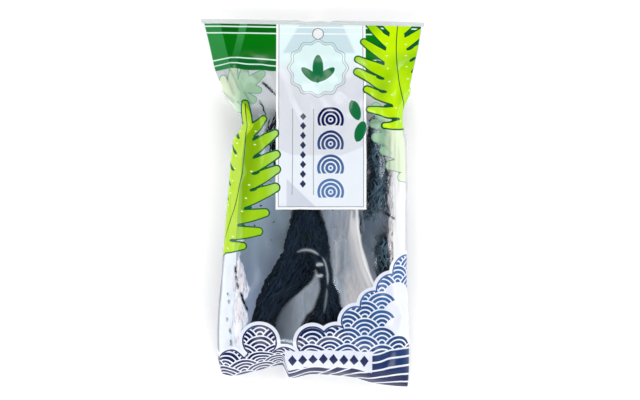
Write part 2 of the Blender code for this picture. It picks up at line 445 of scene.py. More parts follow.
faces = grid_faces(ROWS, ROUND)
kept = np.ones(faces.shape[:2], dtype=bool)
for row, column in (hole_front, hole_back):
    kept[row - HOLE_ROWS : row + HOLE_ROWS, column - HOLE_COLUMNS : column + HOLE_COLUMNS] = False
film_faces = faces[kept].tolist()
ring_front, ring_back = block_edge(hole_front, 1), block_edge(hole_back, -1)
film_faces += np.stack(
    [ring_front, np.roll(ring_front, -1), np.roll(ring_back, -1), ring_back], axis=1
).tolist()
film_faces += end_faces(0) + end_faces(ROWS - 1)
print("faces of the film:", len(film_faces))


# %% [markdown]
# ## Where the print lies
# The front is printed while the film is flat, so the print has to follow the film round its bends and
# over its wrinkles. Each point therefore keeps its place on the flat film: how far across and how far
# along, in mm. Big curved shapes are stored as signed distances, below zero inside. A distance changes
# evenly from point to point, so an edge drawn where it passes zero stays sharp. Straight lines and dots
# are left to the shader.

# %% Places on the flat film
PRINT_MIDDLE = 4
LEVEL_END = -60  # below it the film turns down, so it is longer than it looks from the front
DRAWN_OUT = 0.12  # the share of that length that the print is drawn out by

front_x = tube[:, : FRONT + 1, 0]
near = np.argmin(np.abs(front_x - PRINT_MIDDLE), axis=1)[:, None]
front_across = front_reach - np.take_along_axis(front_reach, near, 1) + np.take_along_axis(front_x, near, 1)
profile = through(SECTIONS, tube_y, 4)
run_down = np.concatenate([[0], np.cumsum(np.hypot(np.diff(tube_y), np.diff(profile)))])
level_run = np.interp(-LEVEL_END, -tube_y, run_down)
turned = np.where(tube_y > LEVEL_END, tube_y, LEVEL_END + level_run - run_down)
print_y = tube_y + DRAWN_OUT * (turned - tube_y)
across = np.concatenate([front_across, tube[:, FRONT + 1 :, 0]], axis=1)
along = np.repeat(print_y[:, None], ROUND, axis=1)
moved = film - before_hole
across, along = across + moved[:, :, 0], along + moved[:, :, 1]
# At the pinch the film is drawn up, and the print with it.
beside = across - PINCH[0]
tent = np.maximum(0, 1 - np.where(beside > 0, beside / PULL_RIGHT, -beside / PULL_LEFT))
along = along - PULLED_UP * tent * bell(along - PINCH[1] + 2, PULL_HEIGHT)
facing = np.broadcast_to(np.where(np.arange(ROUND) <= FRONT, 1, -1), across.shape)
from_side = np.minimum(tube[:, :, 0] - tube[:, :1, 0], tube[:, FRONT : FRONT + 1, 0] - tube[:, :, 0])
print("print reaches, in mm:", np.round([across.min(), across.max(), along.min(), along.max()], 1))


# %% Leaf sprigs
FAR = 1e9  # beyond all distances


def heading(angle):
    return np.array([math.cos(angle), math.sin(angle)])


def seen_from(u, v, root, angle):
    """How far each point lies from a root along a direction, and how far to the left of it."""
    du, dv = u - root[0], v - root[1]
    return du * math.cos(angle) + dv * math.sin(angle), dv * math.cos(angle) - du * math.sin(angle)


def leaflet(u, v, root, angle, length, width):
    """Distance to a leaf with a round tip. Its half width swells and closes as the root of a sine of the
    share of its length."""
    p, q = seen_from(u, v, root, angle)
    inside = np.clip(p, 0, length)
    half = width / 2 * np.sin(math.pi * inside / length) ** 0.5
    past = np.abs(p - inside)
    return np.where(past > 0, np.hypot(past, q), (np.abs(q) - half) * 0.88)


def lobe(u, v, root, angle, length, width, bow):
    """Distance to a lobe of a leaf: the distance from its bowed middle line, less a half width that
    narrows on the way out to a round tip."""
    p, q = seen_from(u, v, root, angle)
    inside = np.clip(p, 0, length - 0.5 * (1 - NARROWING) * width)
    share = inside / length
    return np.hypot(p - inside, q - bow * length * share**2) - width / 2 * (1 - NARROWING * share**2)


def quadratic(start, bend, end, t):
    """Points of a curve from start to end that its bend draws aside, at the places t, from 0 to 1."""
    return (1 - t) ** 2 * start + 2 * t * (1 - t) * bend + t * t * end


def stem_points(start, bend, end, t):
    """Points of a curve at the places t, and its direction at each."""
    t = np.asarray(t)[:, None]
    start, bend, end = (np.array(p) for p in (start, bend, end))
    points = quadratic(start, bend, end, t)
    step = 2 * (1 - t) * (bend - start) + 2 * t * (end - bend)
    return points, np.arctan2(step[:, 1], step[:, 0])


def sprig(u, v, start, bend, end, pairs, length, width, blade):
    """Distance to a stem with a blade along it, pairs of lobes and one lobe at its tip, how far along the
    stem a point lies and how far to its side, and the distance to the dark drops where two lobes part."""
    points, angles = stem_points(start, bend, end, np.linspace(0, 1, STEM_PIECES))
    gap = np.full(u.shape, FAR)
    side, place = np.zeros(u.shape), np.zeros(u.shape)
    run = np.concatenate([[0], np.cumsum(np.hypot(*np.diff(points, axis=0).T))])
    for point, angle, at in zip(points, angles, run):
        away = np.hypot(u - point[0], v - point[1])
        ahead, aside = seen_from(u, v, point, angle)
        closer = away < gap
        gap = np.where(closer, away, gap)
        side = np.where(closer, aside, side)
        place = np.where(closer, at + ahead, place)

    def blade_half(share):
        return blade * (0.35 + 0.65 * np.sin(math.pi * np.clip(share * 0.9 + 0.1, 0, 1)))

    shape = gap - blade_half(np.clip(place / run[-1], 0, 1))
    k = np.arange(pairs)
    at = (k + 0.6) / (pairs + 0.4)
    roots, ways = stem_points(start, bend, end, at)
    sizes = 0.42 + 0.7 * np.sin(math.pi * (0.12 + 0.8 * at)) + 0.06 * np.sin(2.4 * k)
    notch_at = at[:-1] + 0.5 / (pairs + 0.4)
    notches, notch_ways = stem_points(start, bend, end, notch_at)
    drops = np.full(u.shape, FAR)
    for turn in (1, -1):
        leans = ways + turn * np.radians(68 - 14 * at + 4 * np.sin(1.7 * k + turn))
        for root, lean, size in zip(roots, leans, sizes):
            root = root - 0.25 * blade * heading(lean)
            new = lobe(u, v, root, lean, length * size, width * (1 + size) / 2, -BOW * turn)
            shape = np.minimum(shape, new)
        # A drop starts inside the blade's edge, halfway between two lobes, and points the way they do.
        between = (leans[1:] + leans[:-1]) / 2
        out = blade_half(notch_at) / np.abs(np.sin(between - notch_ways)) - DROP_INSIDE
        for root, lean, reach in zip(notches, between, out):
            root = root + reach * heading(lean)
            drops = np.minimum(drops, leaflet(u, v, root, lean, *DROP_SIZE))
    tip = lobe(u, v, points[-3], angles[-1], length * 0.6, width * 0.85, 0)
    return np.minimum(shape, tip), place, side, drops


STEM_PIECES, NARROWING, BOW = 60, 0.5, 0.1
DROP_SIZE, DROP_INSIDE = (5.8, 2.1), 0.8
# Start, bend and end of the stem, pairs of lobes, a lobe's length and width, the blade's half width.
SPRIGS = (
    ((-66, -33), (-42, 4), (-43, 53), 8, 28, 10.6, 7.6),
    ((68, 49), (50, 72), (56, 122), 8, 30, 9.6, 9.5),
)
GHOSTS = (
    ((-74, 56), (-60, 66), (-38, 80), 5, 16.5, 8.6, 7),
    ((70, 14), (61, 30), (44, 58), 5, 16.5, 10, 8),
)
left, right = (sprig(across, along, *settings) for settings in SPRIGS)
leaf, stem_place, stem_side = (np.where(right[0] < left[0], b, a) for a, b in zip(left[:3], right[:3]))
drops = np.minimum(left[3], right[3])
ghost = np.minimum(*(sprig(across, along, *settings)[0] for settings in GHOSTS))
print("sprigs:", len(SPRIGS), "bright and", len(GHOSTS), "pale")

# %% Edge of the waves and the badge
# The waves fill the lower front up to a row of round crests: u, v, radius.
CRESTS = (
    (-72, -104, 12), (-53, -104, 12), (-34, -88.5, 13.5), (-17, -102, 12), (0, -88.5, 12.5),
    (15, -87, 12), (28, -75, 12), (40, -65, 12), (51, -55, 12.5), (63, -44, 13.5),
    (78, -38, 14),
)
crest_line = through(CRESTS, across)
wave = (along - crest_line) * 0.85
for u, v, radius in CRESTS:
    wave = np.minimum(wave, np.hypot(across - u, along - v) - radius)

BADGE_CENTRE, BADGE_RADIUS, BADGE_LOBES, LOBE_DEPTH = (3.6, 88), 19, 12, 0.9
badge_angle = np.arctan2(along - BADGE_CENTRE[1], across - BADGE_CENTRE[0])
badge_edge = BADGE_RADIUS + LOBE_DEPTH * np.cos(BADGE_LOBES * badge_angle)
badge = np.hypot(across - BADGE_CENTRE[0], along - BADGE_CENTRE[1]) - badge_edge
# Root, angle in degrees, length and width of the leaves on the badge and beside the fans.
SPROUTS = (
    ((3.6, 78), 90, 19, 7), ((3.6, 79), 140, 14, 5.5), ((3.6, 79), 40, 14, 5.5),
    ((29.6, 53.5), 108, 14, 7), ((28.6, 39.5), 72, 14, 7),
)
sprout = np.min([
    leaflet(across, along, root, math.radians(degrees), length, width)
    for root, degrees, length, width in SPROUTS
], axis=0)
print("crests:", len(CRESTS), " leaves on the panel:", len(SPROUTS))

# %% [markdown]
# ## Where the film turns white
# Creased film whitens where it is folded, and its folds catch the light, so they look milky; both are
# painted here as a highlight. That depends on shape, so it is worked out from the mesh: how far each point
# lies from the mean of its neighbours, with the lines of the main folds added.

# %% Creases
# Start, bend and end of a curve, its half width and how white it is: painted highlights along folds.
CREASE_HIGHLIGHTS = (
    ((-45, 52), (-42, 10), (-47, -34), 0.9, 0.45),
    ((-47, -30), (-45.5, -64), (-50, -100), 2.6, 0.75),
    ((52.5, 56), (51, 0), (52.5, -44), 1, 0.55),
    ((28.8, 6), (26.2, -29), (42.6, -59), 1.6, 0.95),
    ((27.4, -4), (24.8, -31), (41, -62), 3.4, 0.66),
    ((25.4, -10), (23.4, -36), (38.5, -66), 5, 0.46),
    ((-11.5, -32), (-2, -26), (5.5, -34), 0.95, 0.42),
    ((5.5, -33), (11, -40), (9.5, -54), 0.95, 0.36),
    ((9.5, -52), (9, -62), (7, -71), 0.9, 0.24),
    ((17, -4), (17, -30), (22, -66), 2.6, 0.2),
    ((2, -39.8), (4.6, -37.6), (7.6, -39.4), 1.5, 0.5),
    ((1.8, -45.2), (4.4, -47), (7.2, -44.8), 1.4, 0.5),
    ((22, 0), (20, -24), (30, -60), 1.6, 0.22),
    ((-31, -4), (-27, -14), (-31, -36), 1.8, 0.14),
    ((22.5, -38), (21.5, -48), (25, -64), 1.7, 0.42),
    ((13, -8), (20, -18), (19, -34), 1.5, 0.26),
    ((31, 2), (31.5, -8), (34, -22), 1.1, 0.2),
    ((25.5, -2), (24, -14), (27.5, -27), 2.2, 0.6),
    ((14.6, -20), (15.8, -32), (15.4, -47), 1.9, 0.43),
    ((24, -50), (26, -60), (31, -68), 1.6, 0.46),
)
# Thin folds whose shaded side is painted as a grey line, a painted shade, given in the same way.
FOLD_SHADE_LINES = (
    ((-54.9, 90), (-50.6, 82), (-46.4, 71), 0.85, 0.6),
    ((-57.5, 88), (-54, 78), (-50, 68), 0.8, 0.35),
    ((-44.5, 73.5), (-42, 68), (-38.2, 62.5), 0.85, 0.6),
    ((-60.2, 74), (-56, 69.5), (-49, 64.5), 1.3, 0.5),
    ((-47.5, 90), (-41, 84), (-33, 80), 0.9, 0.25),
    ((34, 49), (41, 56), (51.5, 50), 1.2, 0.55),
    ((37.5, 45), (43, 49.5), (50, 44.5), 0.9, 0.5),
    ((46.5, 55), (44.5, 50), (47.5, 42), 0.9, 0.45),
    ((41, 40), (47.5, 38), (52, 30), 0.9, 0.35),
    ((49.8, 49), (49, 25), (50, -2), 0.8, 0.4),
    ((53, 46), (52.4, 22), (53.2, -24), 0.8, 0.3),
    ((55.4, 40), (55.8, 20), (55.2, 4), 0.8, 0.2),
)
CURVE_PIECES = 12


def blurred(field, times):
    """Evens a field out: each point takes a share of its neighbours in its row and the rows beside it."""
    for _ in range(times):
        field = (2 * field + np.roll(field, 1, axis=1) + np.roll(field, -1, axis=1)) / 4
        field[1:-1] = (2 * field[1:-1] + field[2:] + field[:-2]) / 4
    return field


def curve_distance(x, y, start, bend, end):
    """Distance from a curve, taken as short straight runs, and how far along it from 0 to 1."""
    points, _ = stem_points(start, bend, end, np.linspace(0, 1, CURVE_PIECES + 1))
    gap, place = np.full(x.shape, FAR), np.zeros(x.shape)
    for k in range(CURVE_PIECES):
        away, share = run_distance(x, y, points[k], points[k + 1])
        place = np.where(away < gap, (k + share) / CURVE_PIECES, place)
        gap = np.minimum(gap, away)
    return gap, place


neighbours = (np.roll(film, 2, axis=1) + np.roll(film, -2, axis=1)) / 2
bent = blurred(np.linalg.norm(film - neighbours, axis=2), 3)
# painted highlight: creased film whitens and catches the light where it bends sharply
crease_highlight = 0.5 * smooth((bent - 0.17) / 0.3)
film_x, film_y = film[:, :, 0], film[:, :, 1]
uneven = np.clip(0.9 + 0.16 * waves(film_x, film_y, 41, 16, 0.02, 0.07), 0.4, 1.4)
for start, bend, end, half_width, strength in CREASE_HIGHLIGHTS:
    away, share = curve_distance(film_x, film_y, start, bend, end)
    width = half_width * (0.4 + 0.6 * eased(share, 3)) * uneven
    crease_highlight = np.maximum(crease_highlight, strength * eased(share, 6) * bell(away, width))
fold_shade = np.zeros_like(film_x)
for start, bend, end, half_width, strength in FOLD_SHADE_LINES:
    away, share = curve_distance(film_x, film_y, start, bend, end)
    fold_shade = np.maximum(fold_shade, strength * eased(share, 5) * bell(away, half_width))
print("creased share of the film:", round(float((crease_highlight > 0.3).mean()), 3))


# %% The film as a mesh
def new_piece(name, points, faces, finish):
    """A mesh from arrays: points in mm, and faces as lists of point numbers in an order that faces them
    outwards.
    """
    mesh = bpy.data.meshes.new(name)
    mesh.from_pydata((np.asarray(points).reshape(-1, 3) * MM).tolist(), [], faces)
    mesh.materials.append(finish)
    mesh.shade_smooth()
    return put_in_scene(name, mesh)


def add_fields(piece, name, *fields, shape=(ROWS, ROUND)):
    """Stores up to three numbers for each point as one vector. shape is that of the piece's points."""
    values = np.zeros((*shape, 3), dtype=np.float32)
    for k, numbers in enumerate(fields):
        values[..., k] = numbers
    piece.data.attributes.new(name, "FLOAT_VECTOR", "POINT").data.foreach_set("vector", values.ravel())


printed_film = bpy.data.materials.new("printed_film")
pouch = new_piece("film_pouch", film, film_faces, printed_film)
add_fields(pouch, "place", across, along, facing)
add_fields(pouch, "shapes", leaf, ghost, wave)
add_fields(pouch, "stem", stem_place, stem_side, crease_highlight)
add_fields(pouch, "panel", badge, sprout, from_side)
add_fields(pouch, "marks", drops, fold_shade)
print("film:", len(pouch.data.vertices), "points")

# %% [markdown]
# ## The printed film's material
# The film is clear, and ink lies on it in places. Each printed shape is a mask from 0 to 1, and inks are
# laid over one another in the order of printing. One mask says how much ink covers the film: at 0 the
# surface lets light through and only its gloss is left, and at 1 the ink hides what lies behind. The masks
# could be painted in an image, but sums of the film's own places stay sharp at any size.


# %% Materials as arithmetic
class Value:
    """A number, vector or colour in a material. Ordinary arithmetic on it adds the nodes for it."""

    def __init__(self, tree, socket=None):
        self.tree, self.socket = tree, socket

    def node(self, kind, settings=None, inputs=None, output=0):
        """Adds a node of any kind, with its settings, and its inputs by number or name."""
        new = self.tree.nodes.new("ShaderNode" + kind)
        for name, setting in (settings or {}).items():
            setattr(new, name, setting)
        for name, given in (inputs or {}).items():
            if isinstance(given, Value):
                self.tree.links.new(given.socket, new.inputs[name])
            else:
                new.inputs[name].default_value = given
        return Value(self.tree, new.outputs[output] if len(new.outputs) else None)

    def math(self, operation, *given):
        """One of Blender's own operations on numbers."""
        return self.node("Math", {"operation": operation}, dict(enumerate(given)))

    def __abs__(self):
        return self.math("ABSOLUTE", self)

    def floor(self):
        return self.math("FLOOR", self)

    def least(self, other):
        return self.math("MINIMUM", self, other)

    def most(self, *others):
        """The largest of this number and the others."""
        largest = self
        for other in others:
            largest = self.math("MAXIMUM", largest, other)
        return largest

    def wrap(self, low, high):
        """The number moved by whole periods until it lies between low and high."""
        return self.math("WRAP", self, high, low)

    def rise(self, low, high):
        """0 below low, 1 above high, and even between."""
        return self.node("MapRange", {"clamp": True}, {0: self, 1: low, 2: high, 3: 0, 4: 1})

    def fall(self, low, high):
        """1 below low, 0 above high, and even between."""
        return 1 - self.rise(low, high)

    def swell(self, low, full, falling, high):
        """0 outside low and high, 1 from full to falling."""
        return self.rise(low, full) * self.fall(falling, high)

    def above(self, edge):
        """0 below an edge and 1 above it, turning over 0.2 mm as ink does at its edge."""
        return self.rise(edge - 0.1, edge + 0.1)

    def below(self, edge):
        return 1 - self.above(edge)

    def between(self, low, high):
        return self.above(low) * self.below(high)

    def mix(self, without, full):
        """A number between two, with this one as the share of the second."""
        return self.node("Mix", {"data_type": "FLOAT"}, {0: self, 2: without, 3: full})

    def blend(self, without, full):
        """A colour between two, in the same way."""
        return self.node("Mix", {"data_type": "RGBA"}, {0: self, 6: without, 7: full}, 2)

    def parts(self):
        """The three numbers of a vector."""
        split = self.node("SeparateXYZ", None, {0: self}).socket.node
        return [Value(self.tree, output) for output in split.outputs]


# Each sign of arithmetic adds its node, also where a plain number stands before the value.
SIGNS = {"add": "ADD", "sub": "SUBTRACT", "mul": "MULTIPLY", "truediv": "DIVIDE", "pow": "POWER"}
for sign, way in SIGNS.items():
    setattr(Value, f"__{sign}__", lambda self, other, way=way: self.math(way, self, other))
    setattr(Value, f"__r{sign}__", lambda self, other, way=way: self.math(way, other, self))


def ink(red, green, blue):
    """A colour from the levels, 0 to 255, that it shows on a screen."""
    levels = np.array([red, green, blue]) / 255
    light = np.where(levels <= 0.04045, levels / 12.92, ((levels + 0.055) / 1.055) ** 2.4)
    return (*light.tolist(), 1)


def layered(colour, *layers):
    """A colour under layers, each a mask and a colour, in the order in which they are laid."""
    for mask, over in layers:
        colour = mask.blend(colour, over)
    return colour


def start_nodes(owner):
    """Empties the nodes of a material or a world and gives a value to build on."""
    owner.use_nodes = True
    owner.node_tree.nodes.clear()
    return Value(owner.node_tree)


def field(start, name):
    """The three numbers stored at each point under a name."""
    return start.node("Attribute", {"attribute_name": name}, None, 1).parts()


def noise(start, scale, detail, place=None, distortion=0):
    """Cloudy unevenness from 0 to 1, at places of the object in metres unless others are given."""
    place = place or start.node("TexCoord", None, None, 3)
    settings = {"Vector": place, "Scale": scale, "Detail": detail, "Distortion": distortion}
    return start.node("TexNoise", None, settings)


# %% Inks of the front
start = start_nodes(printed_film)
u, v, side = field(start, "place")
leaf_gap, ghost_gap, wave_gap = field(start, "shapes")
stem_run, stem_off, creased = field(start, "stem")
badge_gap, sprout_gap, side_gap = field(start, "panel")
drop_gap, fold_shade, _ = field(start, "marks")
clear_of, touched, _ = field(start, "clear")
front = side.rise(-0.5, 0.5)
soft = noise(start, 22, 2)
print_start = v.below(117.65)
# Above the waist the print ends a little short of the film's sides.
side_margin = (side_gap + v.fall(68, 76) * 5).rise(1.5, 1.8)

LABEL_LEFT, LABEL_RIGHT, LABEL_END = -23.6, 34.6, -3.8
PINSTRIPES = ((115.8, 0.45), (111.5, 0.45), (92.9, 0.5), (88.9, 0.4))
pinstripes = [v.between(middle - half, middle + half) for middle, half in PINSTRIPES]

# On the label: a column of fans and one of lozenges, with their numbers in mm.
FAN_TOP, FAN_STEP, FAN_RADIUS, FAN_MIDDLE, FAN_FOOT = 63, 15.4, 8.6, 11.7, 3.6
fan_v = FAN_RADIUS + 0.8 - (FAN_TOP - v).wrap(0, FAN_STEP)
fan_r = ((u - FAN_MIDDLE) ** 2 + fan_v**2) ** 0.5
fan = fan_r.below(FAN_RADIUS) * fan_v.above(-FAN_FOOT) * (FAN_RADIUS - fan_r).wrap(0, 2.6).below(1.7)
fan = fan * v.between(FAN_TOP - 4 * FAN_STEP, FAN_TOP)
lozenge = (abs(u + 6.1) + abs(v.wrap(-3.1, 3.1)) * 0.8).below(2) * v.between(9.5, 58.7)

# The label has a white border, a thin line inside it, two rules, and a badge with two fine lines. The
# film over it lies in flat facets, shown by painted sheen and painted shade: patches a little lighter or
# darker than the next.
in_label = u.between(LABEL_LEFT, LABEL_RIGHT) * v.above(LABEL_END) * print_start
from_edge = (u - LABEL_LEFT).least(LABEL_RIGHT - u).least(v - LABEL_END)
rules = from_edge.between(1.55, 2)
for at in (-12.9, 0.7):
    rules = rules.most(u.between(at - 0.22, at + 0.22) * v.between(5.5, 60.8))
top_facet_shade = (u - v * 0.55 + 73.4).rise(-0.8, 0.8) * (69.1 - v * 0.42 - u).rise(-0.8, 0.8)
label = layered(
    v.rise(84, 94).blend(ink(222, 226, 234), ink(232, 251, 252)),
    # painted shade of a facet at the top
    (top_facet_shade * v.rise(97.5, 99) * 0.8, ink(197, 220, 229)),
    # painted sheen of the facets below a wavy line
    ((v - 31 - (abs(u - 3) - 16).most(0) * 0.4).fall(-0.6, 0.6), ink(236, 242, 250)),
    # painted shade of a facet at the lower left
    ((v + u * 0.95).fall(-0.7, 0.7) * u.rise(-17, -16), ink(212, 217, 230)),
    (from_edge.below(1.5), ink(252, 253, 254)),
    *[(stripe * from_edge.rise(1.5, 2), ink(246, 252, 252)) for stripe in pinstripes[:2]],
    (rules, ink(138, 148, 158)),
    (badge_gap.between(-0.25, 0.2).most(badge_gap.between(-1.9, -1.5)) * 0.8, ink(120, 142, 140)),
    (badge_gap.below(-1.9), ink(223, 245, 245)),
    (sprout_gap.below(0), ink(14, 112, 62)),
    (fan, v.rise(14, 52).blend(ink(84, 122, 176), ink(10, 22, 84))),
    (lozenge, ink(48, 58, 92)),
)

# The green band with its white pinstripes. The header's facets between the creases that lean down to the
# pinch get painted light and painted shade: lighter and darker greens.
BAND_END = 85.5
band = print_start * v.above(BAND_END) * side_margin
lean = (v - PINCH[1]) / (TOP_Y - PINCH[1])
past = [(u - (low + lean * (top - low))).rise(-0.3, 0.3) for top, low, _, _ in HEADER_CREASES]
lit = (1 - past[0]) * 0.34 + past[1] * (1 - past[2]) * (lean.rise(0, 0.9) * 0.4 + 0.1)
shaded = past[0] * (1 - past[1]) * 0.3 + past[2] * (1 - past[3]) * 0.16
green = layered(
    v.rise(94, 112).blend(ink(0, 114, 18), ink(0, 126, 6)),
    (v.below(93), ink(6, 104, 42)),
    (v.above(111.5), ink(4, 100, 20)),
    (lit, ink(84, 176, 112)),
    (shaded, ink(2, 84, 10)),
    *[(stripe, ink(214, 246, 228)) for stripe in pinstripes],
)

# Leaf sprigs: blotches, a lighter fill in parts, a painted sheen beyond the film's fold at the left side,
# rows of white flecks, a vein, an outline and dark drops.
drop = drop_gap.below(0) * leaf_gap.below(1.2)
leaf_mask = leaf_gap.below(0).most(drop) * print_start * side_margin
flecks = (stem_run.wrap(-4.2, 4.2) ** 2 * 2.2 + (abs(stem_off) - 6.2) ** 2 * 0.6).below(0.42)
leaves = layered(
    abs(stem_off).rise(5, 13).blend(ink(130, 176, 0), ink(158, 208, 22)),
    (soft.rise(0.5, 0.64) * 0.5, ink(112, 158, 0)),
    (u.rise(20, 40), soft.rise(0.42, 0.6).blend(ink(144, 204, 0), ink(200, 244, 0))),
    (u.rise(-30, -25) * u.below(8) * 0.45, ink(186, 232, 130)),
    # painted sheen: lighter where the film turns past its fold near the left side
    (side_gap.below(8) * u.below(0) * 0.7, ink(192, 228, 34)),
    (flecks * leaf_gap.below(-1.4), ink(230, 248, 176)),
    (abs(stem_off).below(0.32) * leaf_gap.below(-2.4), ink(6, 80, 40)),
    ((leaf_gap + soft * 1.2 + 0.4).above(0).most(drop), ink(4, 90, 50)),
)
ghost_mask = ghost_gap.below(0) * print_start
ghosts = layered(
    ink(226, 242, 208),
    (u.swell(-54, -46, 46, 51), ink(160, 202, 166)),
    (ghost_gap.rise(-0.65, -0.45), ink(112, 168, 142)),
)

# Waves: rows of overlapping round crests of rings. The lowest row that covers a place is the one seen.
CREST, RING = 11.2, 2.8
row = (v / (CREST / 2)).floor()
rings = None
for step in (1, 0, -1):
    this = row + step
    du = (u - CREST * this).wrap(-CREST, CREST)
    dv = v - this * (CREST / 2)
    radius = (du**2 + dv**2) ** 0.5
    # Some crests near the right side are left blank.
    blank = (u - du).rise(50, 50.1) * (v - dv).swell(-90.1, -90, -60, -59.9)
    ring = radius.wrap(0, RING).below(RING * 0.66) * (1 - blank)
    rings = ring if rings is None else radius.below(CREST).mix(rings, ring)
# Broad crests with bold rings run along the bottom: the middle's u and v, and the radius.
BROAD_CRESTS, BROAD_RING = ((4, -183, 76), (68, -196, 104)), 4.4
for middle_u, middle_v, reach in BROAD_CRESTS:
    depth = reach - ((u - middle_u) ** 2 + (v - middle_v) ** 2) ** 0.5
    rings = depth.above(0).mix(rings, depth.wrap(0, BROAD_RING).rise(0.85, 1.05))
in_wave = wave_gap.below(0)
waves_ink = (rings * wave_gap.below(-3.2)).most(wave_gap.between(-3.2, -2.2))
blue = (soft.rise(0.42, 0.6) * v.rise(-108, -78)).blend(ink(8, 20, 74), ink(52, 98, 154))
# A pale patch with a row of lozenges lies over them.
PATCH_U, PATCH_V, PATCH_MIDDLE = (-18, 38.7), (-107, -94.5), -100.7
patch_row = (abs((u - 0.45).wrap(-3.3, 3.3)) + abs(v - PATCH_MIDDLE) * 0.8).below(2.95)
wave_colour = layered(
    ink(228, 232, 245),
    (waves_ink, blue),
    (u.between(*PATCH_U) * v.between(*PATCH_V), ink(222, 226, 238)),
    (patch_row * u.between(-16, 36.7), ink(24, 34, 84)),
)
print("nodes for the inks:", len(printed_film.node_tree.nodes))

# %% The film's surface
# Clear film is milky at the sides, with a ragged crumpled strip at the left and a soft one at the right,
# pale partly because crinkled film whitens and partly as painted sheen.
milky = side_gap.below(9.5) * v.below(50)
upright = start.node("CombineXYZ", None, {0: u * 0.55, 1: v * 0.13, 2: 0})
streaks = noise(start, 1, 5, upright, 0.8)
blotches = noise(start, 90, 2)
strip_end = 13.5 + v.fall(-54, -36) * 5.5 + (blotches - 0.5) * 12
crumpled = side_gap.rise(7.9, 8.1) * (strip_end - side_gap).rise(0, 1.2) * u.below(0) * v.below(-12)
soft_strip = side_gap.swell(8.5, 9.5, 11, 14) * u.above(0) * v.swell(-38, -24, 40, 54) * 0.8

# Where each tint of the front lies.
solid_ink = band.most(in_label, leaf_mask, in_wave)
# painted sheen: a warm, pinkish gleam low on the right
warm_low_sheen = u.swell(19, 23, 38, 42) * v.fall(-56, -34)
margin = (1 - print_start) * front
# painted light: the header's unprinted sides are painted near white, lifting the shade of their outward
# slope
painted_light_edge = (1 - side_margin) * v.rise(68, 76) * print_start
# painted shade: a thin grey line along the outline, where the film is seen edge-on
thin_edge_shade = side_gap.fall(1.1, 2.1) * v.below(52)
# The punched edge of the hanging hole gets a painted shade, a little darker.
from_hole = ((u - HOLE_CENTRE[0]) ** 2 + (v - HOLE_CENTRE[1] - HOLE_FALL) ** 2) ** 0.5
colour = layered(
    v.rise(40, 60).blend(ink(220, 236, 254), ink(240, 246, 252)),
    (u.rise(43, 48), ink(244, 238, 241)),
    (milky, u.rise(30, 50).blend(ink(231, 238, 245), ink(243, 243, 244))),
    (warm_low_sheen, ink(254, 246, 248)),
    # painted highlight where the film is creased
    (creased.rise(0.1, 0.5), ink(250, 250, 252)),
    (ghost_mask, ghosts),
    # painted shade along thin folds
    (fold_shade, ink(104, 126, 122)),
    (margin, ink(196, 208, 206)),
    (painted_light_edge, ink(250, 253, 251)),
    (thin_edge_shade, u.rise(0, 10).blend(ink(138, 140, 158), ink(196, 198, 206))),
    (band, green),
    (in_label, label),
    (leaf_mask, leaves),
    (in_wave, wave_colour),
    # painted shade at the hole's edge
    (from_hole.below(HOLE_RADIUS + 0.7) * 0.85, ink(104, 114, 116)),
    # painted sheen: a pinkish gleam in the crumpled strip
    (crumpled * (1 - solid_ink) * blotches.rise(0.4, 0.6) * 0.6, ink(226, 216, 224)),
)

# Painted light: a pale haze on the film lightens the view into the pack where the film stands clear of the
# strands: more of it low down, and little of it past the long white fold.
low = v.fall(-50, -14)
past_fold = (u - ((-10 - v).most(0) ** 2 * 0.006 + 28.6)).rise(-0.5, 1.5)
gap_low = u.swell(16, 18, 20, 22) * v.fall(-38, -26) * 0.07
painted_light_haze = u.rise(-24, -8) * (0.165 + low * (0.06 + u.rise(6, 16) * 0.08)) + 0.06 - past_fold * 0.13 - gap_low
mottled = 0.8 + streaks * 0.4 + u.rise(6, 16) * (streaks - 0.5) * 0.6
# painted light on a patch at the right
painted_light_patch = u.rise(37, 41) * v.swell(-22, -17, -7, -2) * 0.13
# painted sheen of the crumpled strips, paler low on the left
pale_low = v.fall(-64, -44) * u.below(0) * 0.4
crumple_sheen = crumpled.most(soft_strip) * (0.2 + pale_low + streaks.rise(0.4, 0.6) * 0.7).least(0.9)
# It gathers painted light stronger towards the header, the milky sides, the strips' painted sheen and the
# creases' painted highlights.
haze_and_painted_light = (v.rise(54, 68) * clear_of * 0.5).most(
    clear_of * painted_light_haze * mottled, painted_light_patch, crumple_sheen, milky * 0.86, creased * (0.6 + soft * 0.5)
)
cover = solid_ink.most(
    ghost_mask * 0.8, fold_shade * 0.8, haze_and_painted_light * (1 - touched), margin * 0.62, painted_light_edge * 0.95
)

# The back is white where it lies flat. Its sides are clear, as are the front's. Painted light makes it
# paler towards the right and low down, fading out to the left, and beside the long white fold a painted
# shade darkens it.
back_cover = (0.95 - 0.75 * (1 - print_start)) * side_gap.rise(3, 7).most(v.rise(60, 84))
shade = past_fold * v.swell(-62, -50, -8, 2)
back_colour = layered(
    v.rise(20, 78).blend(ink(196, 217, 252), ink(246, 246, 246)),
    # painted light towards the right
    (u.rise(8, 24), ink(238, 236, 246)),
    # painted light low down, fading out to the left
    (u.rise(-26, -12) * v.below(-24) * 0.8, ink(228, 240, 255)),
    # painted shade beside the long white fold
    (shade * 0.9, ink(90, 126, 154)),
)
colour = front.blend(back_colour, colour)
cover = front.mix(back_cover, cover * 0.99)
